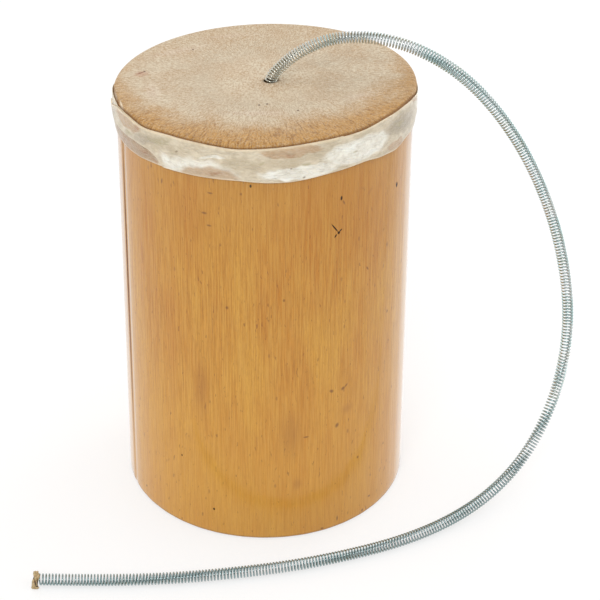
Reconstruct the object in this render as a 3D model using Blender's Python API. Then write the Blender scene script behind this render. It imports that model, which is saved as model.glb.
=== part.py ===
"""Spring drum: a bamboo tube with a goatskin head and a long steel spring hung from the skin.

Units are metres, +Z is up, and +X is to the right of someone who faces the drum. The origin is
the centre of the tube's base, where the drum stands. The spring leaves a hole near the middle
of the skin, arches over the right side and lies down in front of the drum.
"""
import math

import bmesh
import bpy
import numpy as np
from mathutils import Vector

# Bamboo tube
TUBE_HEIGHT = 0.1507
TUBE_R_BASE = 0.0504
TUBE_TAPER = 0.0017
TUBE_WALL = 0.0070
TUBE_TOP_ROUND = 0.0012
TUBE_BASE_ROUND = 0.0009
TUBE_BORE_CHAMFER = 0.0006
RIM_RISE = 0.00115

# Goatskin head
SKIN_THICK = 0.0006
SKIRT_THICK = 0.00055
SKIRT_DROP = 0.0110
RIM_ROUND = 0.0019
HOLE_X = 0.0018
HOLE_Y = -0.0015
HOLE_R = 0.00235

# Rawhide strip wound round the rim
BAND_HEIGHT = 0.0124
BAND_THICK = 0.0004
BAND_BELOW_TOP = 0.0008
BAND_BACK_DROP = 0.0022
BAND_BULGE = 0.00012
BAND_START = math.radians(300.0)
BAND_OVERLAP = math.radians(84.0)
BAND_CLIMB = math.radians(26.0)
BAND_SLANT = math.radians(33.0)

# Coil spring
COIL_OD = 0.0041
WIRE_DIA = 0.00055
CURLS = 90
POINTS_PER_CURL = 8
ROOT_LEAN = math.radians(15.0)
TAIL_BELOW_PEG = 0.0045

# Stop behind the skin
WASHER_R = 0.0090
WASHER_HOLE_R = 0.0029
WASHER_THICK = 0.0008
PEG_LENGTH = 0.0130
PEG_DIA = 0.0010

# Scrap of hide folded round the last curl
TIP_WIDTH = 0.0033
TIP_THICK = 0.0005
TIP_PAST_END = 0.0024
TIP_LIP = 0.0006

# Clearance that touching pieces keep, and the facets of round pieces
GAP = 0.0003
SIDES = 80
ROUND_STEPS = 3

# Route of the spring's centre line, in millimetres: the arch is measured from the middle of
# the hole, and the tail from the drum's axis with its height above where the spring lies.
ARCH_MM = [
    (2.4, 0.0, 4.1), (5.9, 0.0, 7.6), (10.2, 0.0, 10.7), (19.7, 0.0, 14.7), (31.2, 0.0, 15.5),
    (43.5, 0.0, 13.0), (52.8, 0.0, 8.8), (61.4, 0.0, 3.1), (75.4, 0.0, -11.1), (86.4, 0.0, -27.7),
    (95.0, 0.0, -45.9), (101.2, 0.0, -64.9),
]
TAIL_MM = [
    (106.8, -1.5, 64.6), (107.4, -2.2, 44.8), (103.6, -6.6, 25.7), (94.7, -16.3, 11.1), (81.6, -29.3, 3.5),
    (66.3, -41.9, 0.8), (49.1, -52.5, 0.1), (31.0, -60.4, 0.1), (12.0, -66.4, 0.1), (-7.6, -70.6, 0.1),
    (-27.3, -73.6, 0.1), (-47.3, -75.1, 0.1), (-74.1, -75.3, 0.1),
]
MM = 0.001
ROUTE_STEPS = 40
TUBE_R_TOP = TUBE_R_BASE - TUBE_TAPER


def tilted(x, z):
    """Height of a point once the top is sawn off square: the right rim stands RIM_RISE higher."""
    return z + RIM_RISE * (x / TUBE_R_TOP) * (z / TUBE_HEIGHT)


def tube_radius(z):
    """Outer radius of the tube at a height, which narrows evenly from base to top."""
    return TUBE_R_BASE - TUBE_TAPER * z / TUBE_HEIGHT


SKIN_UNDER = TUBE_HEIGHT + GAP
SKIN_TOP = SKIN_UNDER + SKIN_THICK
SKIRT_IN = TUBE_R_TOP + GAP
SKIRT_OUT = SKIRT_IN + SKIRT_THICK
SKIRT_END = SKIN_TOP - SKIRT_DROP
COIL_R = COIL_OD / 2.0
CURL_R = COIL_R - WIRE_DIA / 2.0
HOLE = Vector((HOLE_X, HOLE_Y, tilted(HOLE_X, SKIN_TOP - SKIN_THICK / 2.0)))
ROOT = Vector((math.sin(ROOT_LEAN), 0.0, math.cos(ROOT_LEAN)))
WASHER_SAG = RIM_RISE * WASHER_R / TUBE_R_TOP
WASHER_TOP = -SKIN_THICK / 2.0 - GAP - WASHER_SAG
WASHER_UNDER = WASHER_TOP - WASHER_THICK

# The peg lies level along X, so the spring can be lifted about X while the peg stays level.
PEG_LINE = Vector((1.0, 0.0, 0.0))
PEG_DEPTH = (GAP + PEG_DIA / 2.0 - WASHER_UNDER) / ROOT.z


def clear_scene():
    for old in list(bpy.data.objects):
        bpy.data.objects.remove(old, do_unlink=True)


def make_material(name, colour, roughness, metallic=0.0):
    material = bpy.data.materials.new(name)
    material.use_nodes = True
    shader = material.node_tree.nodes["Principled BSDF"]
    shader.inputs["Base Color"].default_value = (*colour, 1.0)
    shader.inputs["Roughness"].default_value = roughness
    shader.inputs["Metallic"].default_value = metallic
    return material


def add_object(name, data, material, parent=None):
    """Put mesh or curve data into the scene under a name, with its material and parent."""
    new = bpy.data.objects.new(name, data)
    bpy.context.collection.objects.link(new)
    data.materials.append(material)
    new.parent = parent
    return new


def mesh_from_rings(name, rings, closed):
    """Join rings of equal length by quads: closed runs on to the first ring, else ends are capped."""
    build = bmesh.new()
    loops = [[build.verts.new(point) for point in ring] for ring in rings]
    count = len(loops[0])
    pairs = list(zip(loops, loops[1:]))
    if closed:
        pairs.append((loops[-1], loops[0]))
    for lower, upper in pairs:
        for i in range(count):
            j = (i + 1) % count
            build.faces.new((lower[i], lower[j], upper[j], upper[i]))
    if not closed:
        build.faces.new(list(reversed(loops[0])))
        build.faces.new(loops[-1])
    bmesh.ops.recalc_face_normals(build, faces=build.faces)
    mesh = bpy.data.meshes.new(name)
    build.to_mesh(mesh)
    build.free()
    mesh.shade_smooth()
    mesh.set_sharp_from_angle(angle=math.radians(35.0))
    return mesh


def circle(radius, z, centre=(0.0, 0.0), sides=SIDES):
    """Points of a level circle."""
    turns = [2.0 * math.pi * i / sides for i in range(sides)]
    return [(centre[0] + radius * math.cos(a), centre[1] + radius * math.sin(a), z) for a in turns]


def corner(centre_r, centre_z, radius, start_deg, end_deg):
    """Profile points (radius, height) round a corner, from one angle to the other."""
    step = (end_deg - start_deg) / ROUND_STEPS
    angles = [math.radians(start_deg + step * i) for i in range(ROUND_STEPS + 1)]
    return [(centre_r + radius * math.cos(a), centre_z + radius * math.sin(a)) for a in angles]


def lean_top(rings):
    """Apply the off-square top to rings of points."""
    return [[(x, y, tilted(x, z)) for x, y, z in ring] for ring in rings]


def build_tube():
    """The bamboo: one tapered wall, rounded outside at both ends and chamfered in the bore."""
    bore_top = TUBE_R_TOP - TUBE_WALL
    bore_base = TUBE_R_BASE - TUBE_WALL
    profile = corner(TUBE_R_BASE - TUBE_BASE_ROUND, TUBE_BASE_ROUND, TUBE_BASE_ROUND, -90.0, 0.0)
    profile += corner(TUBE_R_TOP - TUBE_TOP_ROUND, TUBE_HEIGHT - TUBE_TOP_ROUND, TUBE_TOP_ROUND, 0.0, 90.0)
    profile += [
        (bore_top + TUBE_BORE_CHAMFER, TUBE_HEIGHT),
        (bore_top, TUBE_HEIGHT - TUBE_BORE_CHAMFER),
        (bore_base, TUBE_BORE_CHAMFER),
        (bore_base + TUBE_BORE_CHAMFER, 0.0),
    ]
    rings = lean_top([circle(r, z) for r, z in profile])
    bamboo = make_material("lacquered bamboo", (0.58, 0.32, 0.10), 0.3)
    return add_object("bamboo_tube", mesh_from_rings("bamboo_tube", rings, True), bamboo)


def build_skin():
    """The head: a flat skin with a round hole, bent over the rim into a skirt."""
    hole = (HOLE_X, HOLE_Y)
    inner_round = RIM_ROUND - SKIRT_THICK
    outer = corner(SKIRT_OUT - RIM_ROUND, SKIN_TOP - RIM_ROUND, RIM_ROUND, 90.0, 0.0)
    inner = corner(SKIRT_IN - inner_round, SKIN_UNDER - inner_round, inner_round, 0.0, 90.0)
    profile = outer + [(SKIRT_OUT, SKIRT_END), (SKIRT_IN, SKIRT_END)] + inner
    rings = [circle(HOLE_R, SKIN_UNDER, hole), circle(HOLE_R, SKIN_TOP, hole)]
    rings += [circle(r, z) for r, z in profile]
    hide = make_material("goatskin", (0.66, 0.50, 0.33), 0.65)
    return add_object("skin_head", mesh_from_rings("skin_head", lean_top(rings), True), hide)


def build_band():
    """The rawhide strip: wound once round the skirt, then on over its own start to a slanting end.

    Its top edge runs lower at the sides and the back of the head than in front.
    """
    top = SKIN_TOP - BAND_BELOW_TOP
    low = top - BAND_HEIGHT
    shelf = SKIRT_END - GAP
    on_skirt = SKIRT_OUT + GAP
    section = [
        (low, tube_radius(low) + GAP),
        (shelf, on_skirt),
        ((top + shelf) / 2.0, on_skirt + BAND_BULGE),
        (top, on_skirt),
    ]
    sweep = 2.0 * math.pi + BAND_OVERLAP
    steps = round(SIDES * sweep / (2.0 * math.pi))
    rings = []
    for i in range(steps + 1):
        turned = sweep * i / steps
        climb = min(1.0, max(0.0, (turned - 2.0 * math.pi + BAND_CLIMB) / BAND_CLIMB))
        lift = (BAND_THICK + GAP) * climb
        slant = BAND_SLANT * max(0.0, (turned - sweep + BAND_SLANT) / BAND_SLANT)
        inside = []
        outside = []
        for z, r in section:
            up = (z - low) / BAND_HEIGHT
            angle = BAND_START - turned - slant * (up - 0.5)
            back = min(1.0, max(0.0, (math.sin(angle) + 0.45) / 0.6))
            level = z - BAND_BACK_DROP * up * back * back * (3.0 - 2.0 * back)
            for side, radius in ((inside, r + lift), (outside, r + lift + BAND_THICK)):
                side.append((radius * math.cos(angle), radius * math.sin(angle), level))
        rings.append(inside + list(reversed(outside)))
    rawhide = make_material("rawhide strip", (0.74, 0.66, 0.52), 0.4)
    return add_object("rim_band", mesh_from_rings("rim_band", lean_top(rings), False), rawhide)


def natural_spline(knots, values, at):
    """Cubic curve through values at knots, which runs straight out of both its ends."""
    last = len(knots) - 1
    gaps = np.diff(knots)
    slopes = np.diff(values, axis=0) / gaps[:, None]
    system = np.eye(last + 1)
    turns = np.zeros_like(values)
    for i in range(1, last):
        system[i, i - 1:i + 2] = (gaps[i - 1], 2.0 * (gaps[i - 1] + gaps[i]), gaps[i])
        turns[i] = 6.0 * (slopes[i] - slopes[i - 1])
    bends = np.linalg.solve(system, turns)
    k = np.clip(np.searchsorted(knots, at, side="right") - 1, 0, last - 1)
    h = gaps[k][:, None]
    done = (at - knots[k])[:, None]
    left = h - done
    return (bends[k] * left ** 3 + bends[k + 1] * done ** 3) / (6.0 * h) + (
        (values[k] / h - bends[k] * h / 6.0) * left + (values[k + 1] / h - bends[k + 1] * h / 6.0) * done)


def spring_route():
    """Points close together along the spring's centre line, from its inner end to its tip."""
    hole = np.array(HOLE)
    root = np.array(ROOT)
    inner_end = hole - root * (PEG_DEPTH + TAIL_BELOW_PEG)
    straight = [inner_end, hole - root * PEG_DEPTH / 2.0, hole, hole + root * COIL_R / 2.0]
    arch = [hole + np.array(point) * MM for point in ARCH_MM]
    tail = [np.array((x * MM, y * MM, z * MM + COIL_R)) for x, y, z in TAIL_MM]
    points = np.array(straight + arch + tail)
    knots = np.concatenate([[0.0], np.cumsum(np.linalg.norm(np.diff(points, axis=0), axis=1))])
    line = natural_spline(knots, points, np.linspace(0.0, knots[-1], ROUTE_STEPS * (len(points) - 1) + 1))
    lying = line[:, 2] < COIL_R
    line[lying, 2] = COIL_R
    return line


def frames_along(line):
    """Arc length, tangent and two side directions that don't twist, at each point of a line."""
    steps = np.linalg.norm(np.diff(line, axis=0), axis=1)
    length = np.concatenate([[0.0], np.cumsum(steps)])
    tangent = np.gradient(line, length, axis=0)
    tangent /= np.linalg.norm(tangent, axis=1)[:, None]
    side = np.zeros_like(line)
    side[0] = np.array((ROOT.z, 0.0, -ROOT.x))
    for i in range(1, len(line)):
        flat = side[i - 1] - tangent[i] * np.dot(side[i - 1], tangent[i])
        side[i] = flat / np.linalg.norm(flat)
    return length, tangent, side, np.cross(tangent, side)


def spring_wire(line):
    """Points of the wire: a helix round the route, set so that the peg passes between its curls."""
    length, _, side, rise = frames_along(line)
    at = np.linspace(0.0, length[-1], CURLS * POINTS_PER_CURL + 1)
    pitch = length[-1] / CURLS
    turn = 2.0 * math.pi * (at - TAIL_BELOW_PEG) / pitch + math.pi / 2.0

    def read(values):
        return np.stack([np.interp(at, length, values[:, axis]) for axis in range(3)], axis=1)

    return read(line) + CURL_R * (np.cos(turn)[:, None] * read(side) + np.sin(turn)[:, None] * read(rise))


def least_gap(wire):
    """Least gap between the wire and itself, on points, leaving out the curl a point is on."""
    fine = 4
    share = np.arange(0, len(wire) - 1, 1.0 / fine)
    points = np.stack([np.interp(share, np.arange(len(wire)), wire[:, axis]) for axis in range(3)], axis=1)
    apart = POINTS_PER_CURL * fine * 3 // 4
    least = math.inf
    for i in range(len(points) - apart):
        least = min(least, np.linalg.norm(points[i + apart:] - points[i], axis=1).min())
    return least - WIRE_DIA


def build_spring(line, hole_empty):
    """The spring as one unbroken round wire, wound along its route."""
    wire = spring_wire(line)
    print("least gap of the spring to itself: %.2f mm" % (least_gap(wire) / MM))
    curve = bpy.data.curves.new("coil_spring", "CURVE")
    curve.dimensions = "3D"
    curve.bevel_depth = WIRE_DIA / 2.0
    curve.bevel_resolution = 1
    curve.use_fill_caps = True
    spline = curve.splines.new("POLY")
    spline.points.add(len(wire) - 1)
    for point, place in zip(spline.points, wire - np.array(HOLE)):
        point.co = (*place, 1.0)
    steel = make_material("zinc plated steel", (0.62, 0.68, 0.70), 0.28, 1.0)
    return add_object("coil_spring", curve, steel, hole_empty)


def build_washer(hole_empty):
    """A loose disc of hide behind the skin, which the peg pulls up against."""
    profile = [
        (WASHER_HOLE_R, WASHER_UNDER), (WASHER_R, WASHER_UNDER),
        (WASHER_R, WASHER_TOP), (WASHER_HOLE_R, WASHER_TOP),
    ]
    rings = [circle(r, z, sides=SIDES // 2) for r, z in profile]
    leather = make_material("hide washer", (0.40, 0.25, 0.13), 0.75)
    return add_object("stop_washer", mesh_from_rings("stop_washer", rings, True), leather, hole_empty)


def build_peg(hole_empty):
    """A sliver of bamboo pushed through the inner curls, with slightly pointed ends."""
    half = PEG_LENGTH / 2.0
    thick = PEG_DIA / 2.0
    profile = [(thick / 2.0, -half), (thick, PEG_DIA - half), (thick, half - PEG_DIA), (thick / 2.0, half)]
    rings = [circle(r, z, sides=12) for r, z in profile]
    wood = make_material("bamboo peg", (0.62, 0.42, 0.20), 0.6)
    peg = add_object("stop_peg", mesh_from_rings("stop_peg", rings, False), wood, hole_empty)
    peg.location = -ROOT * PEG_DEPTH
    peg.rotation_mode = "QUATERNION"
    peg.rotation_quaternion = Vector((0.0, 0.0, 1.0)).rotation_difference(PEG_LINE)
    return peg


def build_tip(line, hole_empty):
    """A scrap of hide bent round the front of the last curl, from above it down to the floor."""
    end = line[-1]
    middle = COIL_R + GAP + TIP_THICK / 2.0
    lean = math.radians(62.0)
    top_lip = [(middle * math.cos(lean) + TIP_LIP * 0.5, middle * math.sin(lean) + TIP_LIP)]
    round_front = [math.radians(a) for a in range(70, 181, 22)]
    hug = [(middle * math.cos(a), middle * math.sin(a)) for a in round_front]
    foot = TIP_THICK / 2.0 - COIL_R + GAP / 2.0
    bottom = [(-middle - TIP_LIP * 0.1, foot * 0.6), (-middle - TIP_LIP * 0.4, foot)]
    path = np.array(top_lip + hug + bottom)
    along = np.gradient(path, axis=0)
    along /= np.linalg.norm(along, axis=1)[:, None]
    off = np.stack([-along[:, 1], along[:, 0]], axis=1) * TIP_THICK / 2.0
    near = end[0] - TIP_PAST_END
    far = near + TIP_WIDTH
    rings = []
    for centre, aside in zip(path, off):
        edge_a = centre + aside
        edge_b = centre - aside
        ring = [(near, *edge_a), (far, *edge_a), (far, *edge_b), (near, *edge_b)]
        rings.append([(x - HOLE.x, y + end[1] - HOLE.y, z + end[2] - HOLE.z) for x, y, z in ring])
    scrap = make_material("hide scrap", (0.36, 0.25, 0.13), 0.6)
    return add_object("hide_tip", mesh_from_rings("hide_tip", rings, False), scrap, hole_empty)


def main():
    clear_scene()
    build_tube()
    build_skin()
    build_band()
    hole_empty = bpy.data.objects.new("hole_centre", None)
    bpy.context.collection.objects.link(hole_empty)
    hole_empty.location = HOLE
    line = spring_route()
    build_spring(line, hole_empty)
    build_washer(hole_empty)
    build_peg(hole_empty)
    build_tip(line, hole_empty)
    length = np.linalg.norm(np.diff(line, axis=0), axis=1).sum()
    print("spring length along its centre line: %.1f mm" % (length / MM))
    print("hole centre: %s mm, peg depth %.2f mm" % ([round(v / MM, 2) for v in HOLE], PEG_DEPTH / MM))


main()
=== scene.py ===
import math

import bpy
import numpy as np
from mathutils import Matrix, Vector


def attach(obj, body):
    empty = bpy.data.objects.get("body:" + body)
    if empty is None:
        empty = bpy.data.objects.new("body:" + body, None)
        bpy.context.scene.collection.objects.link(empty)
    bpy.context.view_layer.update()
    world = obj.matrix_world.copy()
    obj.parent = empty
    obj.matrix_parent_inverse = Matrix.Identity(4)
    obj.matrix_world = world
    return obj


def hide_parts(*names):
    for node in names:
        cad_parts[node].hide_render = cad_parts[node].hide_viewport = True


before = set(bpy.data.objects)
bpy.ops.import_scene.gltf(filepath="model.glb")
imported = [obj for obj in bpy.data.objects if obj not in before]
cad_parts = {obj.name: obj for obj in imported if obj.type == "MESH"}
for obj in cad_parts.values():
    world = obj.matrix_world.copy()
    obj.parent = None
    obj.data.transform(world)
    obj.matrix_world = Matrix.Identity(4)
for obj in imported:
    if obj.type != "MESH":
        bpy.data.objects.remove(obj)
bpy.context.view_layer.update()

MM = 0.001

# Sizes of the drum in millimetres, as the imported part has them
TUBE_HEIGHT = 150.7
TUBE_R_BASE = 50.4
TUBE_TAPER = 1.7
TUBE_WALL = 7.0
TUBE_TOP_ROUND = 1.2
TUBE_BASE_ROUND = 0.9
TUBE_BORE_CHAMFER = 0.6
RIM_SLOPE = 0.0236
SKIN_TOP = 151.6
SKIN_THICK = 0.6
SKIRT_OUT = 49.55
SKIRT_END = 140.6
RIM_ROUND = 1.9
HOLE_R = 2.35
HOLE = np.array((1.8, -1.5, 151.34))
BAND_LOW = 138.4
BAND_TOP = 150.8
COIL_OD = 4.1
COIL_R = COIL_OD / 2.0
WIRE_DIA = 0.55

# Flute down the left side of the bamboo: azimuth and half width in degrees, depth in millimetres
FLUTE_AZIMUTH = 202.0
FLUTE_HALF = 1.7
FLUTE_DEPTH = 0.34


def linear(hex_colour):
    """Scene-linear colour of an sRGB hex code."""
    parts = [int(hex_colour[i:i + 2], 16) / 255.0 for i in (1, 3, 5)]
    return (*[c / 12.92 if c <= 0.04045 else ((c + 0.055) / 1.055) ** 2.4 for c in parts], 1.0)


def make_camera():
    """Camera above and in front of the drum, as the photograph was taken."""
    pitch, roll = math.radians(31.2), math.radians(0.65)
    distance, aside, lower = 568.0, 12.2, 6.8
    right = Vector((1.0, 0.0, 0.0))
    up = Vector((0.0, math.sin(pitch), math.cos(pitch)))
    forward = Vector((0.0, math.cos(pitch), -math.sin(pitch)))
    middle = Vector((0.0, 0.0, 75.0))
    place = middle + right * aside - up * lower - forward * distance
    turn = Matrix((right, up, -forward)).transposed() @ Matrix.Rotation(roll, 3, "Z")
    camera = bpy.data.cameras.new("camera")
    camera.sensor_fit = "HORIZONTAL"
    camera.sensor_width = 36.0
    camera.lens = 96.96
    camera.clip_start = 0.01
    camera.clip_end = 50.0
    placed = bpy.data.objects.new("camera", camera)
    bpy.context.scene.collection.objects.link(placed)
    placed.matrix_world = Matrix.Translation(place * MM) @ turn.to_4x4()
    bpy.context.scene.camera = placed


# Mesh helpers
def grid_object(name, points, wrap=False, loop=False, caps=False):
    """Smooth mesh over a grid of points in millimetres (rows, columns, 3).

    wrap joins the last column to the first, loop joins the last row to the first, and caps closes
    the first and last rows by one face each. UVs run from 0 to 1 along columns and rows.
    """
    rows, columns = points.shape[:2]
    down = rows if loop else rows - 1
    across = columns if wrap else columns - 1
    r, c = np.meshgrid(np.arange(down), np.arange(across), indexing="ij")
    r, c = r.ravel(), c.ravel()
    r2, c2 = (r + 1) % rows, (c + 1) % columns
    corners = [r * columns + c, r * columns + c2, r2 * columns + c2, r2 * columns + c]
    faces = np.stack(corners, axis=1).tolist()
    u = np.stack([c, c + 1, c + 1, c], axis=1) / across
    v = np.stack([r, r, r + 1, r + 1], axis=1) / down
    uv = np.stack([u.ravel(), v.ravel()], axis=1)
    if caps:
        faces += [list(range(columns))[::-1], [(rows - 1) * columns + i for i in range(columns)]]
        uv = np.concatenate([uv, np.zeros((2 * columns, 2))])
    mesh = bpy.data.meshes.new(name)
    mesh.from_pydata((points.reshape(-1, 3) * MM).tolist(), [], faces)
    mesh.uv_layers.new(name="UVMap").data.foreach_set("uv", uv.ravel())
    mesh.shade_smooth()
    made = bpy.data.objects.new(name, mesh)
    bpy.context.scene.collection.objects.link(made)
    return made


def keep_values(made, name, values):
    """Keep one number for each point of a mesh, for its material to read."""
    made.data.attributes.new(name, "FLOAT", "POINT").data.foreach_set("value", values.ravel())


def tilt(points):
    """The head end is sawn slightly off square: points rise to the right in step with their height."""
    points[..., 2] += RIM_SLOPE * points[..., 0] * points[..., 2] / TUBE_HEIGHT
    return points


def turned(radius, height, azimuth):
    """Grid of points of a turned profile.

    It has a row for each pair of radius and height, and a column for each azimuth in degrees.
    """
    angle = np.radians(azimuth)
    radius, height = np.asarray(radius)[:, None], np.asarray(height)[:, None]
    return np.stack([radius * np.cos(angle), radius * np.sin(angle), height + 0.0 * angle], axis=2)


def arc(centre_r, centre_z, radius, start_deg, end_deg, steps=6):
    """Profile points round a corner."""
    a = np.radians(np.linspace(start_deg, end_deg, steps))
    return np.stack([centre_r + radius * np.cos(a), centre_z + radius * np.sin(a)], axis=1)


def bump(x, centre, width):
    """Smooth hump of height 1 at the centre, which fades over the width."""
    return np.exp(-((x - centre) / width) ** 2)


def smooth_step(share):
    """Rise from 0 to 1 that starts and ends level."""
    share = np.clip(share, 0.0, 1.0)
    return share * share * (3.0 - 2.0 * share)


def strip_section(count, power):
    """Way round a thin strip's section, as two rows: the share of its width from 0 to 1, and the side.

    The side is 1 on the front face and -1 on the back, and rounds off to 0 at both edges.
    """
    share = np.linspace(0.0, 1.0, count)
    side = np.sqrt(np.clip(1.0 - np.abs(2.0 * share - 1.0) ** power, 0.0, 1.0))
    return np.concatenate([share, share[::-1]])[None, :], np.concatenate([side, -side])[None, :]


def lengths_along(points):
    """Arc length from the first point of a line to each of its points."""
    return np.concatenate([[0.0], np.cumsum(np.linalg.norm(np.diff(points, axis=0), axis=1))])


def unit(vectors):
    """Vectors in rows, each brought to length 1."""
    return vectors / np.linalg.norm(vectors, axis=1)[:, None]


def sample(at, length, values):
    """Values along a line, read at other lengths."""
    return np.stack([np.interp(at, length, values[:, axis]) for axis in range(3)], axis=1)


def natural_spline(knots, values, at):
    """Cubic curve through values at knots, which runs straight out of both its ends."""
    last = len(knots) - 1
    gaps = np.diff(knots)
    slopes = np.diff(values, axis=0) / gaps[:, None]
    system = np.eye(last + 1)
    turns = np.zeros_like(values)
    for i in range(1, last):
        system[i, i - 1:i + 2] = (gaps[i - 1], 2.0 * (gaps[i - 1] + gaps[i]), gaps[i])
        turns[i] = 6.0 * (slopes[i] - slopes[i - 1])
    bends = np.linalg.solve(system, turns)
    k = np.clip(np.searchsorted(knots, at, side="right") - 1, 0, last - 1)
    h = gaps[k][:, None]
    done = (at - knots[k])[:, None]
    left = h - done
    return (bends[k] * left ** 3 + bends[k + 1] * done ** 3) / (6.0 * h) + (
        (values[k] / h - bends[k] * h / 6.0) * left
        + (values[k + 1] / h - bends[k + 1] * h / 6.0) * done)


# Pieces of the drum
def make_tube():
    """Bamboo wall turned about the axis, out of round by a few hundredths of a millimetre.

    A shallow flute runs down its left side, as above a branch of the culm. The mesh is finer there.
    """
    top_r = TUBE_R_BASE - TUBE_TAPER
    bore_base, bore_top = TUBE_R_BASE - TUBE_WALL, top_r - TUBE_WALL
    out_z = np.linspace(TUBE_BASE_ROUND, TUBE_HEIGHT - TUBE_TOP_ROUND, 60)[1:-1]
    outside = np.stack([TUBE_R_BASE - TUBE_TAPER * out_z / TUBE_HEIGHT, out_z], axis=1)
    in_z = np.linspace(TUBE_HEIGHT - TUBE_BORE_CHAMFER, TUBE_BORE_CHAMFER, 30)
    inside = np.stack([bore_base - TUBE_TAPER * in_z / TUBE_HEIGHT, in_z], axis=1)
    profile = np.concatenate([
        arc(TUBE_R_BASE - TUBE_BASE_ROUND, TUBE_BASE_ROUND, TUBE_BASE_ROUND, -90.0, 0.0), outside,
        arc(top_r - TUBE_TOP_ROUND, TUBE_HEIGHT - TUBE_TOP_ROUND, TUBE_TOP_ROUND, 0.0, 90.0),
        [(bore_top + TUBE_BORE_CHAMFER, TUBE_HEIGHT)], inside,
        [(bore_base + TUBE_BORE_CHAMFER, 0.0)],
    ])
    close = np.arange(FLUTE_AZIMUTH - 5.0, FLUTE_AZIMUTH + 5.0, 0.25)
    azimuth = np.unique(np.concatenate([np.arange(360.0), close]))
    angle = np.radians(azimuth)
    points = turned(profile[:, 0], profile[:, 1], azimuth)
    flute = FLUTE_DEPTH * bump(azimuth, FLUTE_AZIMUTH, FLUTE_HALF)
    uneven = 0.05 * np.sin(3.0 * angle + 0.6) + 0.03 * np.sin(7.0 * angle)
    uneven += 0.02 * np.sin(41.0 * angle)
    outer = (profile[:, 0] > TUBE_R_BASE - TUBE_WALL / 2.0)[:, None]
    sunk = outer * (uneven + flute * np.interp(points[..., 2], [0.0, TUBE_HEIGHT], [0.5, 1.0]))
    points[..., 0] -= sunk * np.cos(angle)
    points[..., 1] -= sunk * np.sin(angle)
    return grid_object("tube", tilt(points), wrap=True, loop=True)


# Heights of the strip's edges in millimetres at azimuths in degrees; 270 faces the viewer
TOP_EDGE = [
    (0.0, 148.6), (176.0, 148.0), (184.0, 146.3), (190.0, 146.8), (196.0, 149.0), (202.0, 150.7),
    (212.0, 150.9), (222.0, 150.0), (234.0, 150.9), (248.0, 150.6), (261.0, 149.8), (276.0, 150.4),
    (290.0, 151.0), (308.0, 151.1), (318.0, 151.9), (332.0, 151.9), (343.0, 150.9), (355.0, 148.8),
]
LOW_EDGE = [
    (0.0, 138.9), (195.0, 138.9), (206.0, 138.5), (218.0, 138.5), (226.0, 138.9), (240.0, 139.2),
    (262.0, 139.3), (271.0, 138.6), (279.0, 138.4), (286.0, 138.8), (292.0, 139.4), (306.0, 140.1),
    (311.0, 140.2), (316.0, 139.3), (322.0, 138.9), (328.0, 138.1), (337.0, 139.8), (344.0, 138.9),
]
# At the left the strip's first turn stands higher than the turn over it
LEFT_TOP = [
    (0.0, 140.0), (164.0, 140.0), (174.0, 148.8), (182.0, 150.2), (191.0, 151.0), (201.0, 150.9),
    (212.0, 140.0),
]
# The strip's outer end runs over the lower half of its own first turn and is torn to a tongue
END_EDGE = [
    (182.0, 147.6), (190.0, 146.0), (196.0, 144.4), (205.0, 143.7), (216.0, 143.9), (225.0, 143.4),
    (228.5, 142.2), (230.5, 140.5), (232.5, 138.2),
]
# Radii of the strip's back and front at heights, in millimetres
STRIP_BACK = [(BAND_LOW, 49.10), (SKIRT_END, 49.59), (BAND_TOP, 49.59)]
STRIP_FRONT = [
    (BAND_LOW, 49.42), (SKIRT_END - 0.2, 49.70), (142.4, 50.00), (149.3, 50.00), (151.9, 49.75),
]
# Azimuths in degrees, which fall along the strip: its hidden start, its tongue and its outer end
STRIP_START = 300.0
TONGUE_START = 233.0
STRIP_END = 185.0
# The second layer rises over this part of the winding, in degrees, by this many millimetres
LAP_FROM = 292.0
LAP_TO = 354.0
LAP_RISE = 0.42
FOLD_COUNT = 18
FOLD_SEED = 7


def round_rim(azimuth, stops, rounding=4.5):
    """Heights round the rim at azimuths in degrees, straight from stop to stop with round corners."""
    around = np.arange(0.0, 360.0, 0.5)
    window = np.hanning(2 * int(2.0 * rounding) + 1)
    reach = len(window) // 2
    line = np.interp(around, *zip(*stops), period=360.0)
    line = np.concatenate([line[-reach:], line, line[:reach]])
    rounded = np.convolve(line, window / window.sum(), "valid")
    return np.interp(azimuth, around, rounded, period=360.0)


def first_top(azimuth):
    """Height of the top edge of the strip's first turn."""
    return np.maximum(round_rim(azimuth, TOP_EDGE), round_rim(azimuth, LEFT_TOP))


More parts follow.
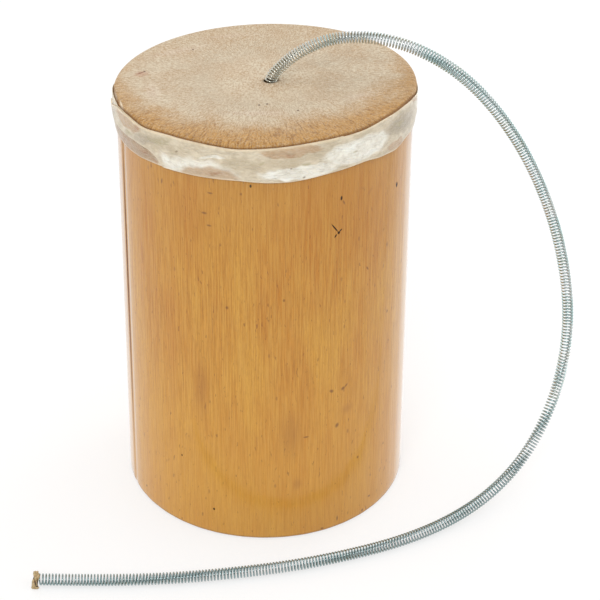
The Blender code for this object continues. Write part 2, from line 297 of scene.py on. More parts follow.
def make_skin():
    """Goatskin: a nearly flat head with a hole, a rounded rim and a skirt, as one thin closed sheet.

    An attribute holds painted shade: 1 where the skin dips behind the strip's upper edge and 0 away from
    it.
    """
    under = SKIN_TOP - SKIN_THICK
    rim, rim_z = SKIRT_OUT - RIM_ROUND, SKIN_TOP - RIM_ROUND
    skirt = [(SKIRT_OUT, rim_z - 0.25 * step) for step in range(1, 12)]
    skirt += [(SKIRT_OUT, SKIRT_END), (SKIRT_OUT - SKIN_THICK + 0.05, SKIRT_END)]
    bend = [*arc(rim, rim_z, RIM_ROUND, 90.0, 0.0, 16), *skirt,
            *arc(rim, rim_z, RIM_ROUND - SKIN_THICK, 0.0, 90.0, 5)]

    # Each profile point has its radius, its height and how far it is centred on the hole, not the drum
    out = np.linspace(0.0, 1.0, 46)[1:-1]
    profile = [(HOLE_R, under, 1.0), (HOLE_R, SKIN_TOP, 1.0)]
    profile += [(HOLE_R + (rim - HOLE_R) * share, SKIN_TOP, 1.0 - share) for share in out]
    profile += [(r, z, 0.0) for r, z in bend]
    profile += [(HOLE_R + (rim - HOLE_R) * share, under, 1.0 - share) for share in out[::-1]]
    radii, heights, centred = np.array(profile).T
    points = turned(radii, heights, np.arange(90.0, 450.0, 1.25))
    points[..., :2] += HOLE[:2] * centred[:, None, None]

    # Slight waves, which fade out at the rim and round the hole
    x, y = points[..., 0], points[..., 1]
    wave = 0.10 * np.sin(x / 9.0 + 0.8) * np.cos(y / 11.0) + 0.06 * np.sin(x / 5.0 - y / 7.0)
    wave *= 1.0 - np.clip(np.hypot(x, y) / rim, 0.0, 1.0) ** 4
    wave *= np.clip((np.hypot(x - HOLE[0], y - HOLE[1]) - 4.0) / 8.0, 0.0, 1.0)
    points[..., 2] += wave

    # Painted shade goes where the skin is nearest to the strip's upper edge, in the gap behind it
    top = first_top(np.degrees(np.arctan2(y, x)))
    least = np.where(top > rim_z, np.hypot(RIM_ROUND, top - rim_z) - RIM_ROUND, 0.05)
    from_edge = np.hypot(np.hypot(x, y) - SKIRT_OUT, points[..., 2] - top)
    made = grid_object("goatskin", tilt(points), wrap=True, loop=True)
    keep_values(made, "painted_gap_shade", bump(from_edge - least, 0.0, 0.36))
    return made


def make_band():
    """Rawhide strip wound once round the rim and on over its own start, with folds along it.

    The section is a thin closed strip, which draws in to the tube at its lower edge. Folds are long low
    ridges that run nearly along the strip. The attribute "strip" holds the way along it from azimuth 0
    and the height, both in millimetres, so that each layer of the lap can have marks of its own, and
    "edge" is 1 along its edges, where the material paints a highlight.
    """
    turn = np.arange(0.0, STRIP_START + 360.0 - STRIP_END, 0.4)[:, None]
    up, side = strip_section(26, 12)
    azimuth = STRIP_START - turn + 0.0 * up
    low, top = round_rim(azimuth, LOW_EDGE), round_rim(azimuth, TOP_EDGE)
    top = np.where(turn < 360.0, first_top(azimuth), top)
    lapped = turn > STRIP_START + 360.0 - TONGUE_START
    low = np.where(lapped, np.maximum(low, round_rim(azimuth, END_EDGE, 1.5)), low)
    height = low + (np.maximum(top, low + 0.2) - low) * up

    layer = LAP_RISE * smooth_step((turn - LAP_FROM) / (LAP_TO - LAP_FROM))
    inner = np.interp(height, *zip(*STRIP_BACK))
    outer = np.interp(height, *zip(*STRIP_FRONT))
    folds = np.zeros_like(azimuth)
    random = np.random.default_rng(FOLD_SEED)
    level_share = (height - BAND_LOW) / (BAND_TOP - BAND_LOW)
    for _ in range(FOLD_COUNT):
        centre, length = random.uniform(180.0, 540.0), random.uniform(9.0, 26.0)
        level, lean = random.uniform(0.15, 0.9), random.uniform(-0.010, 0.010)
        width, tall = random.uniform(0.035, 0.09), random.uniform(-0.08, 0.13)
        away = (azimuth - centre + 180.0) % 360.0 - 180.0
        folds += tall * bump(away, 0.0, length) * bump(level_share, level + lean * away, width)
    folds += 0.10 * bump(up, 0.02, 0.05) + 0.10 * bump(up, 0.98, 0.05)
    radius = inner + layer + (outer - inner + np.maximum(folds, -0.08)) * (side + 1.0) / 2.0

    angle = np.radians(azimuth)
    points = np.stack([radius * np.cos(angle), radius * np.sin(angle), height], axis=2)
    made = grid_object("rim_strip", tilt(points), wrap=True, caps=True)
    along = np.stack([angle * SKIRT_OUT, height, 0.0 * height], axis=2)
    strip = made.data.attributes.new("strip", "FLOAT_VECTOR", "POINT")
    strip.data.foreach_set("vector", along.ravel())
    # Painted highlight along both edges of the strip, fainter along the lower edge of the tongue
    low_edge_highlight = bump(height - low, 0.0, 0.45) * np.where(lapped, 0.3, 1.0)
    keep_values(made, "edge", low_edge_highlight + bump(top - height, 0.0, 0.45))
    return made


# Route of the spring's centre line in millimetres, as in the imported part
ROOT_LEAN = math.radians(15.0)
PEG_DEPTH = 2.50
TAIL_BELOW_PEG = 4.5
ARCH = [
    (2.4, 0.0, 4.1), (5.9, 0.0, 7.6), (10.2, 0.0, 10.7), (19.7, 0.0, 14.7), (31.2, 0.0, 15.5),
    (43.5, 0.0, 13.0), (52.8, 0.0, 8.8), (61.4, 0.0, 3.1), (75.4, 0.0, -11.1), (86.4, 0.0, -27.7),
    (95.0, 0.0, -45.9), (101.2, 0.0, -64.9),
]
TAIL = [
    (106.8, -1.5, 64.6), (107.4, -2.2, 44.8), (103.6, -6.6, 25.7), (94.7, -16.3, 11.1),
    (81.6, -29.3, 3.5), (66.3, -41.9, 0.8), (49.1, -52.5, 0.1), (31.0, -60.4, 0.1),
    (12.0, -66.4, 0.1), (-7.6, -70.6, 0.1), (-27.3, -73.6, 0.1), (-47.3, -75.1, 0.1),
    (-74.1, -75.3, 0.1),
]
ROUTE_STEPS = 60
# Pitch of the coil in millimetres, at lengths in millimetres from the inner end
PITCH = [
    (7.0, 0.85), (18.0, 1.0), (60.0, 1.0), (110.0, 1.05), (142.0, 1.13), (172.0, 1.25),
    (202.0, 1.22), (232.0, 1.13), (262.0, 1.16), (292.0, 1.10), (320.0, 1.09), (382.0, 1.12),
    (410.0, 1.08),
]
# The pitch varies by up to this share of itself, between this many places along the spring
PITCH_SPREAD = 0.05
PITCH_STATIONS = 120
PITCH_SEED = 3
# Round the peg the pitch is greater by this many millimetres, within this reach along the spring
PEG_PITCH = 3.6
PEG_REACH = 2.1
RINGS_PER_CURL = 16
WIRE_SIDES = 8


def spring_route():
    """Points close together along the spring's centre line, from its inner end to its tip."""
    root = np.array((math.sin(ROOT_LEAN), 0.0, math.cos(ROOT_LEAN)))
    straight = [HOLE + root * out
                for out in (-PEG_DEPTH - TAIL_BELOW_PEG, -PEG_DEPTH / 2.0, 0.0, 1.03)]
    arch = [HOLE + np.array(point) for point in ARCH]
    tail = [np.array((x, y, z + COIL_R)) for x, y, z in TAIL]
    points = np.array(straight + arch + tail)
    knots = lengths_along(points)
    at = np.linspace(0.0, knots[-1], ROUTE_STEPS * (len(points) - 1) + 1)
    line = natural_spline(knots, points, at)
    line[:, 2] = np.maximum(line[:, 2], COIL_R)
    return line


def frames_along(line, first_side):
    """Arc length and two side directions that don't twist, at each point of a line."""
    length = lengths_along(line)
    tangent = unit(np.gradient(line, length, axis=0))
    side = np.zeros_like(line)
    side[0] = first_side
    for i in range(1, len(line)):
        flat = side[i - 1] - tangent[i] * np.dot(side[i - 1], tangent[i])
        side[i] = flat / np.linalg.norm(flat)
    return length, side, np.cross(tangent, side)


def make_spring(line):
    """Close-wound wire round the route: a helix of real pitch, opened where the peg goes through.

    A round wire is swept along the helix: each ring of the wire lies square to the wire's own run.
    """
    first_side = np.array((math.cos(ROOT_LEAN), 0.0, -math.sin(ROOT_LEAN)))
    length, side, rise = frames_along(line, first_side)
    fine = np.linspace(0.0, length[-1], 40001)
    random = np.random.default_rng(PITCH_SEED)
    uneven = random.uniform(-PITCH_SPREAD, PITCH_SPREAD, PITCH_STATIONS)
    uneven = np.interp(fine, np.linspace(0.0, length[-1], PITCH_STATIONS), uneven)
    pitch = np.interp(fine, *zip(*PITCH)) * (1.0 + uneven)
    pitch += PEG_PITCH * (np.abs(fine - TAIL_BELOW_PEG) < PEG_REACH)
    phase = np.concatenate([[0.0], np.cumsum(np.diff(fine) / pitch[:-1])]) * 2.0 * math.pi
    phase += math.pi / 2.0 - np.interp(TAIL_BELOW_PEG, fine, phase)
    steps = int((phase[-1] - phase[0]) / (2.0 * math.pi) * RINGS_PER_CURL)
    turn = np.linspace(phase[0], phase[-1], steps)
    at = np.interp(turn, phase, fine)

    centre = sample(at, length, line)
    wire = centre + (COIL_OD - WIRE_DIA) / 2.0 * (
        np.cos(turn)[:, None] * sample(at, length, side)
        + np.sin(turn)[:, None] * sample(at, length, rise))
    run = unit(np.gradient(wire, axis=0))
    out = wire - centre
    out = unit(out - run * np.sum(out * run, axis=1)[:, None])
    beside = np.cross(run, out)
    round_wire = np.linspace(0.0, 2.0 * math.pi, WIRE_SIDES, endpoint=False)[None, :, None]
    ring = out[:, None, :] * np.cos(round_wire) + beside[:, None, :] * np.sin(round_wire)
    points = wire[:, None, :] + ring * WIRE_DIA / 2.0
    return grid_object("zinc_spring", points, wrap=True, caps=True)


def make_tip(line):
    """Folded scrap of hide round the last curl: a ribbon swept along a bent path, creased in front.

    Each row of the path holds the place beside the coil's centre (y, z) and the ribbon's two edges
    in x. The attribute "crease" is 1 in the creases, where the material paints shade.
    """
    end = line[-1]
    path = np.array([
        (2.00, 0.90, -1.6, -0.5), (1.55, 1.65, -1.8, -0.3), (0.85, 2.05, -1.95, -0.2),
        (0.00, 2.15, -1.9, 0.2), (-1.00, 1.95, -1.6, 0.5), (-1.80, 1.40, -1.85, 0.2),
        (-2.30, 0.60, -2.1, 0.0), (-2.45, -0.40, -2.2, -0.1), (-2.50, -1.10, -2.3, 0.1),
        (-2.60, -1.70, -2.35, 0.2), (-2.80, -1.90, -2.0, -0.2),
    ])
    knots = lengths_along(path[:, :2])
    fine = natural_spline(knots, path, np.linspace(0.0, knots[-1], 150))
    along = unit(np.gradient(fine[:, :2], axis=0))
    up, side = strip_section(25, 6)
    x = fine[:, 2, None] + (fine[:, 3] - fine[:, 2])[:, None] * up
    level = 0.52 * fine[:, 0, None] + 0.86 * fine[:, 1, None]
    crease = np.maximum.reduce([
        bump(x, -1.0 - 0.15 * level, 0.24) * bump(level, -0.8, 1.1),
        bump(x, -0.2, 0.2) * bump(level, -0.4, 1.0),
        bump(level, -1.95, 0.26) * bump(x, -0.3, 0.6),
        bump(x, -1.4, 0.2) * bump(level, 0.7, 0.4)])
    crumple = 0.30 * (1.0 - crease) + 0.05 * np.sin(9.0 * x + 3.0 * level)
    lift = 0.17 * side + crumple * (side > 0.0)
    y = end[1] + fine[:, 0, None] + along[:, 1, None] * lift
    z = end[2] + fine[:, 1, None] - along[:, 0, None] * lift
    points = np.stack([end[0] + x, y, np.maximum(z, 0.05)], axis=2)
    made = grid_object("folded_scrap", points, wrap=True, caps=True)
    keep_values(made, "crease", crease)
    return made


# Shader building
def add_node(tree, kind, inputs, **settings):
    """Add one shader node. inputs maps a socket's name or number to a value or to another socket."""
    made = tree.nodes.new("ShaderNode" + kind)
    for name, value in settings.items():
        setattr(made, name, value)
    for name, value in inputs.items():
        if isinstance(value, bpy.types.NodeSocket):
            tree.links.new(value, made.inputs[name])
        else:
            made.inputs[name].default_value = value
    return made


def add(tree, kind, inputs, **settings):
    """Add one shader node and return its first output."""
    return add_node(tree, kind, inputs, **settings).outputs[0]


def new_material(name, roughness, **values):
    """Material with a Principled shader; returns it, its node tree and the shader."""
    material = bpy.data.materials.new(name)
    material.use_nodes = True
    shader = material.node_tree.nodes["Principled BSDF"]
    shader.inputs["Roughness"].default_value = roughness
    for socket, value in values.items():
        shader.inputs[socket.replace("_", " ")].default_value = value
    return material, material.node_tree, shader


def math_node(tree, operation, a, b):
    """Result of a sum on two values."""
    return add(tree, "Math", {0: a, 1: b}, operation=operation)


def times(tree, a, b):
    """Product of two values."""
    return math_node(tree, "MULTIPLY", a, b)


def vector_math(tree, operation, a, b):
    """Result of a sum on two vectors."""
    return add(tree, "VectorMath", {0: a, 1: b}, operation=operation)


def scaled(tree, vector, scale):
    """A vector with each axis scaled."""
    return vector_math(tree, "MULTIPLY", vector, scale)


def axis_of(tree, vector, axis):
    """One axis of a vector, by its number."""
    return add_node(tree, "SeparateXYZ", {0: vector}).outputs[axis]


def length_of(tree, vector):
    """Length of a vector."""
    return add_node(tree, "VectorMath", {0: vector}, operation="LENGTH").outputs["Value"]


def millimetres(tree):
    """Object coordinates in millimetres."""
    coords = tree.nodes.new("ShaderNodeTexCoord")
    return scaled(tree, coords.outputs["Object"], (1000.0, 1000.0, 1000.0))


def attribute(tree, name, output):
    """One output of an attribute that a mesh carries."""
    return add_node(tree, "Attribute", {}, attribute_name=name).outputs[output]


def spread(tree, value, low, high, to_low=0.0, to_high=1.0):
    """A value mapped smoothly from low..high to another range and held there."""
    ends = {"From Min": low, "From Max": high, "To Min": to_low, "To Max": to_high}
    return add(tree, "MapRange", {"Value": value, **ends}, interpolation_type="SMOOTHSTEP")


def noise(tree, vector, scale, low, high, detail=3.0, roughness=0.5):
    """Noise of a vector, spread so that low maps to 0 and high to 1."""
    value = add(tree, "TexNoise",
                {"Vector": vector, "Scale": scale, "Detail": detail, "Roughness": roughness})
    return spread(tree, value, low, high)


def spot(tree, coords, centre, half, turn=(0.0, 0.0, 0.0), soft=0.5):
    """Mask of an ellipsoid: 1 inside, fading to 0 at its half sizes. Sizes as in the coordinates."""
    placing = {"Location": centre, "Rotation": turn, "Scale": half}
    local = add(tree, "Mapping", {"Vector": coords, **placing}, vector_type="TEXTURE")
    return spread(tree, length_of(tree, local), 1.0 - soft, 1.0, 1.0, 0.0)


def most(tree, masks):
    """The greatest of several masks."""
    whole = masks[0]
    for mask in masks[1:]:
        whole = math_node(tree, "MAXIMUM", whole, mask)
    return whole


def mix(tree, share, a, b):
    """Blend of two colours; each may be a hex code or a socket."""
    a, b = (linear(c) if isinstance(c, str) else c for c in (a, b))
    made = tree.nodes.new("ShaderNodeMix")
    made.data_type = "RGBA"
    for socket, value in ((0, share), (6, a), (7, b)):
        if isinstance(value, bpy.types.NodeSocket):
            tree.links.new(value, made.inputs[socket])
        else:
            made.inputs[socket].default_value = value
    return made.outputs[2]


def paint(tree, colour, *layers):
    """Colours laid over a first one in turn: each layer is a mask, its strength and its colour."""
    for mask, strength, tone in layers:
        colour = mix(tree, times(tree, mask, strength), colour, tone)
    return colour


def finish_surface(tree, shader, colour, height=None, distance=0.0001):
    """Give a shader its colour and, where there is a height, a bump of that depth in metres."""
    tree.links.new(colour, shader.inputs["Base Color"])
    if height is not None:
        raised = add(tree, "Bump", {"Height": height, "Distance": distance, "Strength": 1.0})
        tree.links.new(raised, shader.inputs["Normal"])


# Materials
def on_tube(azimuth, height, half_across, half_along, turn=0.0):
    """Centre, half sizes and turn of a mark on the tube, by its azimuth in degrees and height in mm."""
    radius = TUBE_R_BASE - TUBE_TAPER * height / TUBE_HEIGHT
    a = math.radians(azimuth)
    centre = (radius * math.cos(a), radius * math.sin(a), height)
    return centre, (half_across, 4.0, half_along), (0.0, math.radians(turn), a + math.pi / 2.0)


def bamboo_material():
    """Honey-coloured bamboo with fine fibres, insect marks and specks, under clear lacquer."""
    material, tree, shader = new_material(
        "lacquered bamboo", 0.5, Coat_Weight=1.0, Coat_Roughness=0.14, Coat_IOR=1.42,
        Specular_IOR_Level=0.1, Sheen_Weight=1.0, Sheen_Roughness=0.2)
    mm = millimetres(tree)
    height = axis_of(tree, mm, 2)
    radius = length_of(tree, scaled(tree, mm, (1.0, 1.0, 0.0)))

    def drawn(stretch, scale, low, high, detail=2.0, roughness=0.5):
        """Noise that is drawn out along the culm."""
        along = scaled(tree, mm, (1.0, 1.0, stretch))
        return noise(tree, along, scale, low, high, detail, roughness)

    def marks(soft, *places):
        """Mask of marks on the tube: azimuth, height, half sizes across and along in mm, turn."""
        return most(tree, [spot(tree, mm, *on_tube(*place), soft=soft) for place in places])

    fibres = drawn(0.04, 2.5, 0.36, 0.64, 3.0, 0.6)
    hairlines = drawn(0.02, 3.2, 0.40, 0.62)
    grain = drawn(0.12, 4.2, 0.46, 0.62)
    streaks = drawn(0.03, 0.55, 0.35, 0.68)
    broad = drawn(0.30, 0.055, 0.38, 0.62, 3.0)
    thin_dark = drawn(0.022, 1.7, 0.62, 0.74, 3.0)
    flecks = drawn(0.28, 1.25, 0.66, 0.74)
    # Dark line painted down the flute: partly a streak in the bamboo, partly painted shade in the flute
    flute_line_and_shade = marks(0.7, (FLUTE_AZIMUTH - 1.3, 75.0, 0.95, 95.0))
    flute_line_and_shade = times(tree, flute_line_and_shade, spread(tree, height, 10.0, 120.0, 0.55, 1.0))
    cells = scaled(tree, mm, (1.0, 1.0, 0.45))
    pits = add(tree, "TexVoronoi", {"Vector": cells, "Scale": 0.16, "Randomness": 1.0})
    dark = marks(
        0.5, (297.8, 119.9, 0.30, 2.7, -36.0), (299.5, 117.9, 0.60, 0.65),
        (300.3, 118.6, 0.30, 0.9, 50.0), (298.2, 117.0, 0.34, 0.85, 35.0),
        (300.4, 129.9, 0.45, 1.0, 5.0), (331.3, 125.3, 0.70, 1.20), (266.1, 137.0, 0.42, 0.7),
        (236.3, 29.4, 0.35, 0.55), (213.4, 5.2, 0.35, 0.55), (250.5, 10.6, 0.5, 0.6))
    brown = marks(
        0.8, (301.2, 3.7, 0.5, 1.6), (294.4, 1.4, 0.9, 0.6), (314.2, 1.9, 0.9, 0.9),
        (318.2, 6.3, 0.9, 0.7), (297.6, 58.4, 1.3, 0.9, 30.0), (302.8, 58.1, 1.3, 0.9, -30.0),
        (304.2, 58.9, 0.5, 1.2, 40.0), (300.3, 43.8, 1.0, 1.4, 20.0), (287.2, 42.0, 1.4, 0.5),
        (313.5, 101.1, 0.5, 1.2, -30.0), (325.2, 105.8, 0.5, 1.3), (326.9, 79.5, 0.6, 0.9),
        (327.1, 24.9, 0.5, 0.8), (310.9, 26.6, 0.6, 0.8), (251.0, 133.2, 1.3, 0.5),
        (248.5, 125.9, 1.4, 0.6), (250.4, 121.8, 1.2, 0.5), (262.6, 134.1, 0.5, 0.7),
        (256.9, 92.9, 0.7, 0.9), (278.3, 96.3, 0.6, 0.8), (338.8, 93.7, 0.4, 1.4, 20.0),
        (301.5, 128.2, 0.4, 1.2, -20.0), (229.8, 132.7, 0.5, 1.5, 10.0))
    smudges = marks(
        0.95, (313.8, 128.9, 2.8, 1.1, -50.0), (310.2, 131.0, 1.9, 0.8, 30.0),
        (304.9, 49.3, 3.6, 3.0), (283.7, 22.9, 2.4, 3.4), (281.0, 44.0, 6.0, 14.0),
        (268.0, 41.0, 0.5, 5.5), (246.0, 60.0, 4.0, 16.0))
    colour = paint(
        tree, mix(tree, broad, "#C89030", "#BA7820"), (streaks, 0.35, "#CE9A3C"),
        (fibres, 0.60, "#AC7224"), (grain, 0.28, "#96601C"), (hairlines, 0.36, "#DAAA50"),
        (thin_dark, 0.45, "#8C5618"), (spread(tree, height, 85.0, 140.0), 0.42, "#AC6C14"),
        # Painted light: the colour is lighter towards the bottom. The dark flute line after it is partly
        # painted shade.
        (spread(tree, height, 0.0, 100.0, 1.0, 0.0), 0.42, "#D89C3C"), (flute_line_and_shade, 1.0, "#6E3C0E"),
        (smudges, 0.40, "#9C6428"), (flecks, 0.55, "#7E4C1C"),
        (spread(tree, pits, 0.03, 0.085, 1.0, 0.0), 0.5, "#8A5624"), (brown, 0.75, "#6E4018"),
        (dark, 1.0, "#240C02"), (spread(tree, height, 0.3, 1.5, 1.0, 0.0), 0.55, "#7A5A2C"),
        (spread(tree, radius, 46.5, 49.3, 1.0, 0.0), 1.0, mix(tree, fibres, "#DCC79B", "#C4A670")))
    bare = math_node(tree, "MAXIMUM", dark, flute_line_and_shade)
    outside = spread(tree, radius, 46.5, 49.3)
    coated = times(tree, outside, math_node(tree, "SUBTRACT", 1.0, bare))
    tree.links.new(coated, shader.inputs["Coat Weight"])
    finish_surface(tree, shader, colour, math_node(tree, "ADD", fibres, streaks), 0.00004)
    return material


def skin_material():
    """Scraped goatskin: beige with hair roots that point outwards, tan towards the rim."""
    material, tree, shader = new_material("goatskin", 0.72, Specular_IOR_Level=0.35)
    mm = millimetres(tree)
    flat = scaled(tree, mm, (1.0, 1.0, 0.0))
    radius = length_of(tree, flat)
    outward = add(tree, "VectorMath", {0: flat}, operation="NORMALIZE")
    around = scaled(tree, outward, (60.0, 60.0, 0.0))

    def rays(shrink, scale, low, high):
        """Noise in strokes that point away from the middle of the head."""
        out = add(tree, "CombineXYZ", {"Z": times(tree, radius, shrink)})
        return noise(tree, vector_math(tree, "ADD", around, out), scale, low, high, 2.0)

    def marks(soft, tall, *places):
        """Mask of marks on the head: x, y, half sizes along and across in mm, turn in degrees."""
        return most(tree, [
            spot(tree, mm, (x, y, 151.0), (long, wide, tall), (0.0, 0.0, math.radians(turn)), soft)
            for x, y, long, wide, turn in places])

    strokes = rays(0.50, 1.5, 0.43, 0.59)
    long_strokes = rays(0.25, 1.3, 0.52, 0.64)
    grain = noise(tree, scaled(tree, mm, (1.0, 0.6, 1.0)), 1.5, 0.42, 0.62, 2.0)
    away = spread(tree, radius, 10.0, 24.0)
    near = math_node(tree, "SUBTRACT", 1.0, away)
    hairs = math_node(tree, "ADD", times(tree, strokes, away), times(tree, grain, near))
    pores = noise(tree, mm, 1.8, 0.46, 0.62, 2.0)
    patches = noise(tree, flat, 0.075, 0.38, 0.62)
    from_middle = length_of(tree, vector_math(tree, "SUBTRACT", flat, (-2.0, 12.5, 0.0)))
    far = math_node(tree, "ADD", from_middle, times(tree, patches, 3.0))
    rim = spread(tree, far, 41.5, 59.5)
    back = spread(tree, axis_of(tree, mm, 1), 12.0, 46.0)
    veils = marks(
        1.0, 8.0, (-30.0, 24.0, 16.0, 3.5, 28.0), (-14.0, 37.0, 14.0, 3.0, 14.0),
        (-36.0, -10.0, 4.0, 12.0, 10.0), (31.0, -15.0, 9.0, 4.0, 30.0), (-2.0, -27.0, 16.0, 3.0, 0.0))
    stain = marks(0.95, 6.0, (-41.0, 4.8, 3.6, 3.4, 0.0))
    scar = marks(0.7, 6.0, (-41.3, 5.5, 2.3, 0.5, 44.0))
    # Painted highlights along the edges of two folds at the left of the rim
    folds = marks(0.5, 8.0, (-47.9, -10.9, 4.9, 0.42, -76.0), (-45.0, -19.7, 4.9, 0.42, -76.0))
    specks = marks(0.5, 6.0, *[(x, y, 0.5, 0.7, 0.0) for x, y in [
        (-25.2, 25.1), (-1.4, -21.0), (1.1, -20.2), (10.9, -25.2), (-40.1, 6.7)]])
    colour = paint(
        tree, mix(tree, patches, "#D8C9AF", "#D0BB9E"), (veils, 0.55, "#E3D0BC"),
        (back, 0.4, "#BFA480"), (rim, 1.0, "#C6985A"), (hairs, 0.48, "#A1743F"),
        (long_strokes, spread(tree, rim, 0.1, 0.8, 0.0, 0.52), "#84531F"),
        (pores, spread(tree, rim, 0.0, 1.0, 0.45, 0.22), "#EADBC2"), (stain, 0.45, "#B4745A"),
        # the fold marks are painted highlights
        (scar, 0.75, "#80482E"), (folds, 0.75, "#F4E4C8"), (specks, 0.8, "#5E3A26"),
        # painted shade in the gap behind the strip's upper edge
        (attribute(tree, "painted_gap_shade", "Fac"), 0.62, "#70451F"))
    finish_surface(tree, shader, colour, math_node(tree, "ADD", hairs, pores))
    return material


def band_material():
    """Pale rawhide, clouded from white to grey and tan, with a highlight painted along its edges and
    fine wrinkles.
    """
    material, tree, shader = new_material(
        "rawhide strip", 0.34, Coat_Weight=0.35, Coat_Roughness=0.18, Subsurface_Weight=0.12)
    shader.inputs["Subsurface Radius"].default_value = (0.6, 0.45, 0.3)
    shader.inputs["Subsurface Scale"].default_value = 0.001
    mm = millimetres(tree)
    wobble = add_node(tree, "TexNoise", {"Vector": mm, "Scale": 0.22, "Detail": 1.0})
    wobble = add(tree, "VectorMath", {0: wobble.outputs["Color"], 1: (3.0, 3.0, 0.0),
                                      2: (-1.5, -1.5, 0.0)}, operation="MULTIPLY_ADD")
    strip = vector_math(tree, "ADD", attribute(tree, "strip", "Vector"), wobble)
    clouds = noise(tree, scaled(tree, mm, (1.0, 1.0, 1.6)), 0.13, 0.42, 0.60, 3.0, 0.6)
    fine = noise(tree, scaled(tree, mm, (1.0, 1.0, 4.0)), 0.9, 0.35, 0.7)
    slant = {"Rotation": (0.0, 0.0, math.radians(32.0)), "Scale": (0.16, 1.0, 1.0)}
    slanting = add(tree, "Mapping", {"Vector": strip, **slant})
    wrinkles = noise(tree, slanting, 1.1, 0.42, 0.66, 3.0, 0.6)
    mottle = noise(tree, mm, 0.55, 0.46, 0.62, 3.0, 0.6)

    def marks(soft, upper, lower=()):
        """Mask of marks on the upper layer of the strip and on the lower one, where it is lapped.

        Each has its azimuth, its height, its half sizes along and up in mm, and its turn in degrees.
        """
        places = [(azimuth - 360.0, *rest) for azimuth, *rest in upper] + list(lower)
        return most(tree, [
            spot(tree, strip, (math.radians(azimuth) * SKIRT_OUT, z, 0.0), (along, tall, 1.0),
                 (0.0, 0.0, math.radians(turn)), soft) for azimuth, z, along, tall, turn in places])

    grey = marks(0.6, [
        (331.0, 146.6, 14.0, 4.4, -10.0), (193.0, 146.3, 7.0, 3.2, 20.0),
        (222.0, 146.3, 9.0, 2.4, 10.0), (350.0, 141.5, 5.0, 1.6, -10.0)])
    shade = marks(0.7, [(331.0, 146.2, 13.0, 4.0, -10.0)])
    white = marks(0.3, [
        (247.5, 138.6, 14.6, 7.9, 0.0), (306.5, 145.2, 14.5, 4.9, 0.0),
        (352.0, 146.9, 5.0, 3.4, -25.0), (284.0, 141.6, 14.5, 2.9, 0.0),
        (253.0, 146.4, 5.0, 0.7, 4.0)])
    bright = marks(0.8, [
        (233.5, 142.4, 2.6, 3.2, 30.0), (273.5, 141.6, 2.6, 2.4, 20.0),
        (303.0, 147.0, 6.0, 1.8, 0.0), (279.0, 139.4, 5.0, 0.8, 0.0), (312.0, 143.0, 6.0, 1.2, -8.0)])
    tan = marks(0.25, [
        (280.5, 148.9, 10.5, 2.2, 2.0), (251.0, 138.7, 10.9, 5.5, 0.0),
        (327.5, 140.4, 5.5, 2.3, -10.0), (211.0, 148.8, 9.5, 2.2, 0.0),
        (344.0, 150.0, 5.0, 1.0, -20.0)])
    olive = marks(0.7, [
        (231.0, 148.2, 8.0, 1.9, 12.0), (328.5, 147.0, 4.0, 1.4, -14.0),
        (212.5, 145.3, 3.4, 1.5, 0.0), (286.0, 144.3, 1.9, 0.9, 0.0), (270.0, 145.7, 1.2, 0.7, 0.0),
        (305.0, 145.0, 1.2, 0.5, 0.0)])
    under = marks(0.3, [], [(213.0, 141.0, 17.0, 4.6, 0.0)])
    rust = marks(0.8, [
        (280.3, 148.1, 2.2, 1.2, 0.0), (218.5, 148.8, 2.4, 1.6, 20.0), (253.0, 141.2, 3.4, 1.2, 0.0),
        (330.5, 139.2, 2.4, 0.9, 0.0)], [
        (206.0, 140.8, 2.4, 1.6, 30.0), (211.0, 141.8, 2.2, 1.2, 0.0), (222.0, 141.6, 3.4, 1.2, 10.0),
        (228.0, 140.2, 1.6, 1.0, 0.0)])
    specks = marks(0.5, [
        (280.3, 143.7, 0.6, 0.45, 0.0), (239.3, 146.1, 0.5, 0.45, 0.0), (285.0, 140.3, 0.7, 0.35, 0.0)])
    colour = paint(
        tree, mix(tree, clouds, "#D6C8AE", "#C4B497"), (grey, 0.80, "#AC9D86"),
        (shade, 0.40, "#8F8068"), (white, 0.85, "#F0EDE1"), (bright, 0.75, "#F8F7EE"),
        (tan, 0.88, "#BA9872"), (olive, 0.60, "#A79A72"), (under, 0.90, "#9C774E"),
        (rust, 0.65, "#9C6C40"), (fine, 0.18, "#F0EADA"), (mottle, 0.20, "#A08E6E"),
        # painted highlight along the strip's edges
        (wrinkles, 0.14, "#A8987C"), (attribute(tree, "edge", "Fac"), 0.7, "#F2DDBB"),
        (specks, 0.6, "#6C5636"))
    finish_surface(tree, shader, colour, math_node(tree, "ADD", wrinkles, clouds), 0.00016)
    return material


def zinc_material():
    """Zinc-plated wire: silver to teal, warmer by the hole, with shade painted darker along the floor.
    """
    material, tree, shader = new_material("blue zinc plated steel", 0.15, Metallic=1.0)
    mm = millimetres(tree)
    tint = noise(tree, mm, 0.08, 0.40, 0.62, 2.0)
    warm = noise(tree, mm, 0.21, 0.52, 0.70, 2.0)
    root = spot(tree, mm, tuple(HOLE), (34.0, 34.0, 34.0), soft=0.9)
    # Painted shade: the wire is coloured darker where it runs low by the floor
    low = spread(tree, axis_of(tree, mm, 2), 3.0, 45.0, 1.0, 0.0)
    finish_surface(tree, shader, paint(
        tree, mix(tree, tint, "#C6CCCB", "#A8BCBB"), (warm, 0.5, "#AEAE94"),
        # painted shade low by the floor
        (root, 0.8, "#C9C5B8"), (low, 0.7, "#869C9E")))
    return material


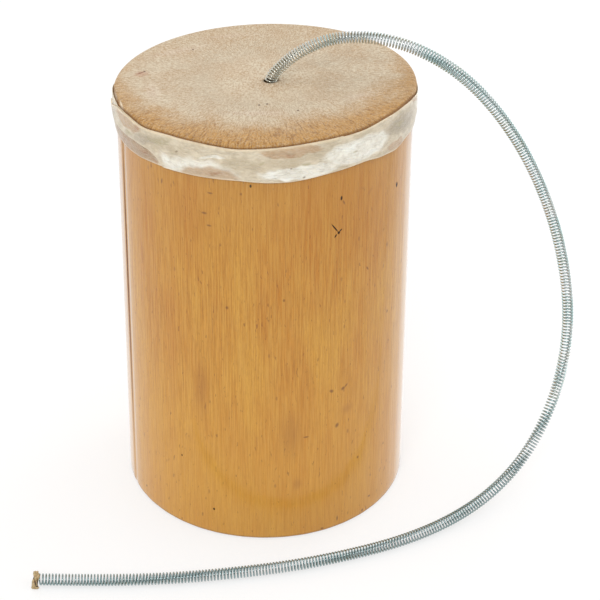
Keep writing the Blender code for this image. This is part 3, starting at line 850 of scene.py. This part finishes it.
def scrap_material():
    """Crumpled brown hide, with shade painted dark into its creases."""
    material, tree, shader = new_material("folded hide", 0.5, Subsurface_Weight=0.15)
    shader.inputs["Subsurface Scale"].default_value = 0.001
    mottle = noise(tree, millimetres(tree), 1.2, 0.35, 0.65)
    # Painted shade: the creases are coloured dark
    crease = spread(tree, attribute(tree, "crease", "Fac"), 0.12, 0.7)
    colour = paint(tree, mix(tree, mottle, "#C4AE84", "#A48C60"), (crease, 1.0, "#463014"))
    finish_surface(tree, shader, colour, mottle)
    return material


def plain_material(name, light, dark, roughness, grain):
    """Matt natural material with a grain that is stretched along one axis."""
    material, tree, shader = new_material(name, roughness)
    mottle = noise(tree, scaled(tree, millimetres(tree), grain), 1.0, 0.35, 0.65)
    finish_surface(tree, shader, mix(tree, mottle, light, dark), mottle)
    return material


def dress(made, material, body, *nodes, slot):
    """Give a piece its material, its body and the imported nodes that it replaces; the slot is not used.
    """
    made.data.materials.append(material)
    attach(made, body)
    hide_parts(*nodes)


# Surroundings
def make_floor():
    """White paper that looks white to the camera and in reflections, and takes the drum's shadow."""
    half, level = 3000.0, -0.02
    floor = grid_object("floor", np.array([
        [(-half, -half, level), (half, -half, level)], [(-half, half, level), (half, half, level)]]))
    material, tree, shader = new_material("white paper", 0.9, Specular_IOR_Level=0.1)
    shader.inputs["Base Color"].default_value = linear("#FDFDFD")
    path = tree.nodes.new("ShaderNodeLightPath")
    seen = most(tree, [path.outputs["Is " + kind + " Ray"]
                       for kind in ("Camera", "Glossy", "Transmission")])
    glow = add(tree, "Emission", {"Color": (1.0, 1.0, 1.0, 1.0), "Strength": 1.0})
    paper = add(tree, "MixShader", {0: times(tree, seen, 0.6), 1: shader.outputs[0], 2: glow})
    tree.links.new(paper, tree.nodes["Material Output"].inputs["Surface"])
    floor.data.materials.append(material)


# Size, watts and place of each soft box, in metres
SOFT_BOXES = {
    "soft_box": (0.80, 15.5, (-0.42, -1.80, 1.50)),
    "side_box": (0.40, 1.5, (0.62, 0.62, 0.34)),
}


def make_light():
    """A white tent, dimmer where it is open behind the viewer, and two soft boxes.

    The main one stands above the viewer's left shoulder, and the weaker one low behind the drum at
    the right.
    """
    world = bpy.data.worlds.new("tent")
    world.use_nodes = True
    tree = world.node_tree
    background = tree.nodes["Background"]
    background.inputs["Color"].default_value = (1.0, 1.0, 1.0, 1.0)
    to_back = axis_of(tree, tree.nodes.new("ShaderNodeTexCoord").outputs["Generated"], 1)
    tent = spread(tree, to_back, -1.0, 0.1, 0.45, 1.1)
    seen = tree.nodes.new("ShaderNodeLightPath").outputs["Is Camera Ray"]
    tree.links.new(math_node(tree, "MAXIMUM", tent, seen), background.inputs["Strength"])
    bpy.context.scene.world = world
    aim = Vector((0.0, 0.0, 0.08))
    for name, (size, watts, place) in SOFT_BOXES.items():
        lamp = bpy.data.lights.new(name, "AREA")
        lamp.size = size
        lamp.energy = watts
        placed = bpy.data.objects.new(name, lamp)
        bpy.context.scene.collection.objects.link(placed)
        placed.location = place
        placed.visible_camera = False
        placed.rotation_mode = "QUATERNION"
        placed.rotation_quaternion = (aim - placed.location).to_track_quat("-Z", "Y")


make_camera()
route = spring_route()
spring = make_spring(route)
tip = make_tip(route)
dress(spring, zinc_material(), "spring", "coil_spring", slot="zinc")
dress(tip, scrap_material(), "spring", "hide_tip", slot="scrap")

dress(make_tube(), bamboo_material(), "drum", "bamboo_tube", slot="bamboo")
dress(make_skin(), skin_material(), "drum", "skin_head", slot="skin")
dress(make_band(), band_material(), "drum", "rim_band", slot="rawhide")
for node, material in (
        ("stop_washer", plain_material("thick hide", "#9E7C55", "#7E5C38", 0.8, (0.8, 0.8, 0.8))),
        ("stop_peg", plain_material("split bamboo", "#D2B37E", "#B08C50", 0.6, (0.1, 2.0, 2.0)))):
    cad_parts[node].data.materials.clear()
    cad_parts[node].data.materials.append(material)

make_floor()
make_light()
bpy.context.scene.view_settings.view_transform = "Standard"

bpy.context.view_layer.update()
